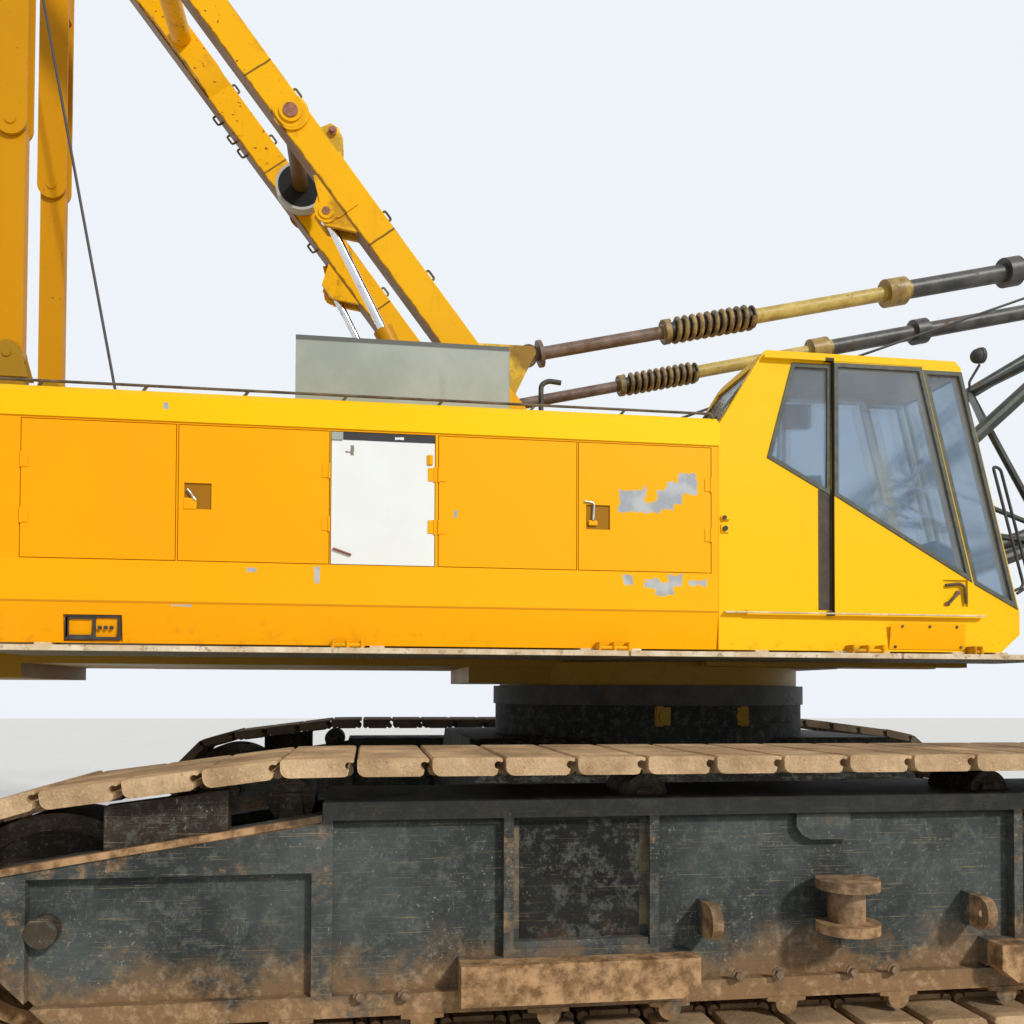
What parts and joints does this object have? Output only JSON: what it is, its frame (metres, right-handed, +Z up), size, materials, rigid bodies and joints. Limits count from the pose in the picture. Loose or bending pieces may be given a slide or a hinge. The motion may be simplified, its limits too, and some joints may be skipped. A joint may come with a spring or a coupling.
{
  "type": "crawler crane",
  "caption": "Crawler crane on two tracks, with a slewing upper, side cab with a sliding door, raised rear gantry, backstops and a lattice boom with a hook block.",
  "frame": {"origin": "on the ground under the middle of the crane's box", "axes": "+X forwards along the boom, +Y to the crane's left, +Z up"},
  "size_m": [22.1152, 8.51, 10.8739],
  "materials": {
    "body_yellow": "worn gloss paint",
    "roof_yellow": "worn gloss paint",
    "white_panel": "satin paint",
    "grey_box": "matt primer",
    "frame_black": "scratched and rusty paint",
    "shoe_dust": "dusty",
    "machined_steel": "bright",
    "rope_drum": "greasy",
    "boom_green": "weathered paint",
    "rigging_black": "greasy",
    "stop_brown": "rusty paint",
    "spring_ochre": "rusty paint",
    "cab_glass": "tinted",
    "cab_trim": "matt",
    "engine_grey": "painted"
  },
  "bodies": {
    "undercarriage": {"carbody": "frame_black", "slew_ring": "machined_steel", "side_frame_right": "frame_black", "side_frame_left": "frame_black", "track_right": "shoe_dust", "track_left": "shoe_dust", "track_rollers": "frame_black", "drive_wheels": "frame_black", "idler_wheels": "frame_black"},
    "upper": {"deck_frame": "body_yellow", "house_right": "body_yellow", "house_left": "body_yellow", "house_roofs": "roof_yellow", "walkways": "body_yellow", "counterweight": "body_yellow", "engine_block": "engine_grey", "roof_box": "grey_box", "cab_shell": "body_yellow", "cab_windows": "cab_glass", "cab_interior": "cab_trim"},
    "cab_door": {"cab_door": "body_yellow", "cab_door_glass": "cab_glass"},
    "gantry": {"gantry": "body_yellow"},
    "gantry_barrels": {"gantry_barrels": "body_yellow"},
    "gantry_rods": {"gantry_rods": "machined_steel"},
    "rear_links_upper": {"rear_links_upper": "body_yellow"},
    "rear_links_lower": {"rear_links_lower": "body_yellow"},
    "backstop_bases": {"backstop_bases": "stop_brown"},
    "backstop_springs": {"backstop_springs": "spring_ochre"},
    "backstop_tubes": {"backstop_tubes": "boom_green"},
    "hoist_drum": {"hoist_drum": "rope_drum"},
    "boom_hoist_drum": {"boom_hoist_drum": "rope_drum"},
    "boom": {"boom_butt": "boom_green", "boom_top": "boom_green", "head_sheaves": "rigging_black"},
    "pendants": {"pendants": "rigging_black"},
    "gantry_spreader": {"gantry_spreader": "body_yellow"},
    "hook_block": {"hook_block": "rigging_black"},
    "right_door_1": {"right_door_1": "body_yellow"},
    "left_door_1": {"left_door_1": "body_yellow"},
    "right_door_2": {"right_door_2": "body_yellow"},
    "left_door_2": {"left_door_2": "body_yellow"},
    "right_door_3": {"right_door_3": "white_panel"},
    "right_door_4": {"right_door_4": "body_yellow"},
    "left_door_4": {"left_door_4": "body_yellow"},
    "right_door_5": {"right_door_5": "body_yellow"},
    "left_door_5": {"left_door_5": "body_yellow"}
  },
  "joints": [
    {"name": "upper_slew", "type": "hinge", "parent": "undercarriage", "child": "upper", "pos_m": [-4.00761, 0, 0], "axis": [0, 0, 1], "continuous": true},
    {"name": "boom_luff", "type": "hinge", "parent": "upper", "child": "boom", "pos_m": [-2.80761, 0, 2.6], "axis": [0, -1, 0], "range_deg": [0, 43]},
    {"name": "pendant_swing", "type": "hinge", "parent": "boom", "child": "pendants", "pos_m": [9.93645, 0, 10.74739], "axis": [0, -1, 0], "range_deg": [-11.94, 0]},
    {"name": "spreader_swing", "type": "hinge", "parent": "gantry", "child": "gantry_spreader", "pos_m": [-9.75734, 0, 9.96951], "axis": [0, -1, 0], "range_deg": [0, 32.06]},
    {"name": "hook_hang", "type": "hinge", "parent": "boom", "child": "hook_block", "pos_m": [10.72931, 0, 9.89382], "axis": [0, -1, 0], "range_deg": [-43.5, 0]},
    {"name": "gantry_fold", "type": "hinge", "parent": "upper", "child": "gantry", "pos_m": [-4.21761, 0, 2.75], "axis": [0, -1, 0], "range_deg": [0, 36]},
    {"name": "gantry_barrel_swing", "type": "hinge", "parent": "upper", "child": "gantry_barrels", "pos_m": [-5.42761, 0, 2.81], "axis": [0, -1, 0], "range_deg": [0, 46.44]},
    {"name": "gantry_rod_slide", "type": "slide", "parent": "gantry_barrels", "child": "gantry_rods", "axis": [0.4568, 0, -0.8896], "range_m": [0, 0.4624]},
    {"name": "rear_link_upper_swing", "type": "hinge", "parent": "gantry", "child": "rear_links_upper", "pos_m": [-9.75734, 0, 9.96951], "axis": [0, -1, 0], "range_deg": [0, 81.38]},
    {"name": "rear_link_lower_swing", "type": "hinge", "parent": "upper", "child": "rear_links_lower", "pos_m": [-9.75734, 0, 4.8], "axis": [0, -1, 0], "range_deg": [0, 10.83]},
    {"name": "backstop_swing", "type": "hinge", "parent": "gantry", "child": "backstop_bases", "pos_m": [-5.32361, 0, 4.967], "axis": [0, -1, 0], "range_deg": [0, 36.88]},
    {"name": "backstop_spring_slide", "type": "slide", "parent": "backstop_bases", "child": "backstop_springs", "axis": [-0.9744, 0, -0.225], "range_m": [0, 1.105]},
    {"name": "backstop_tube_slide", "type": "slide", "parent": "backstop_springs", "child": "backstop_tubes", "axis": [-0.9744, 0, -0.225], "range_m": [0, 1.35837]},
    {"name": "cab_door_slide", "type": "slide", "parent": "upper", "child": "cab_door", "axis": [-1, 0, 0], "range_m": [0, 0.72]},
    {"name": "right_door_1_swing", "type": "hinge", "parent": "upper", "child": "right_door_1", "pos_m": [-9.15661, -2, 2.885], "axis": [0, 0, -1], "range_deg": [0, 90]},
    {"name": "left_door_1_swing", "type": "hinge", "parent": "upper", "child": "left_door_1", "pos_m": [-9.15661, 2, 2.885], "axis": [0, 0, 1], "range_deg": [0, 90]},
    {"name": "right_door_2_swing", "type": "hinge", "parent": "upper", "child": "right_door_2", "pos_m": [-7.01861, -2, 2.885], "axis": [0, 0, 1], "range_deg": [0, 90]},
    {"name": "left_door_2_swing", "type": "hinge", "parent": "upper", "child": "left_door_2", "pos_m": [-7.01861, 2, 2.885], "axis": [0, 0, -1], "range_deg": [0, 90]},
    {"name": "right_door_3_swing", "type": "hinge", "parent": "upper", "child": "right_door_3", "pos_m": [-6.23861, -2, 2.885], "axis": [0, 0, 1], "range_deg": [0, 90]},
    {"name": "right_door_4_swing", "type": "hinge", "parent": "upper", "child": "right_door_4", "pos_m": [-6.20661, -2, 2.885], "axis": [0, 0, -1], "range_deg": [0, 90]},
    {"name": "left_door_4_swing", "type": "hinge", "parent": "upper", "child": "left_door_4", "pos_m": [-6.20661, 2, 2.885], "axis": [0, 0, 1], "range_deg": [0, 90]},
    {"name": "right_door_5_swing", "type": "hinge", "parent": "upper", "child": "right_door_5", "pos_m": [-4.06861, -2, 2.885], "axis": [0, 0, 1], "range_deg": [0, 90]},
    {"name": "left_door_5_swing", "type": "hinge", "parent": "upper", "child": "left_door_5", "pos_m": [-4.06861, 2, 2.885], "axis": [0, 0, -1], "range_deg": [0, 90]},
    {"name": "hoist_drum_spin", "type": "hinge", "parent": "upper", "child": "hoist_drum", "pos_m": [-6.70761, 0, 3.22], "axis": [0, 1, 0], "continuous": true},
    {"name": "boom_hoist_drum_spin", "type": "hinge", "parent": "upper", "child": "boom_hoist_drum", "pos_m": [-8.45761, 0, 3.22], "axis": [0, 1, 0], "continuous": true}
  ],
  "couplings": [
    {"joint": "pendant_swing", "follows": "boom_luff", "ratio": -0.26613},
    {"joint": "spreader_swing", "follows": "boom_luff", "ratio": 0.73387},
    {"joint": "hook_hang", "follows": "boom_luff", "ratio": -1},
    {"joint": "backstop_swing", "follows": "boom_luff", "ratio": 0.84595},
    {"joint": "backstop_spring_slide", "follows": "boom_luff", "m_per_rad": 1.459},
    {"joint": "backstop_tube_slide", "follows": "boom_luff", "m_per_rad": 1.7967},
    {"joint": "gantry_barrel_swing", "follows": "gantry_fold", "ratio": 1.2762},
    {"joint": "gantry_rod_slide", "follows": "gantry_fold", "m_per_rad": 0.72002},
    {"joint": "rear_link_upper_swing", "follows": "gantry_fold", "ratio": 2.2467},
    {"joint": "rear_link_lower_swing", "follows": "gantry_fold", "ratio": 0.28683}
  ]
}
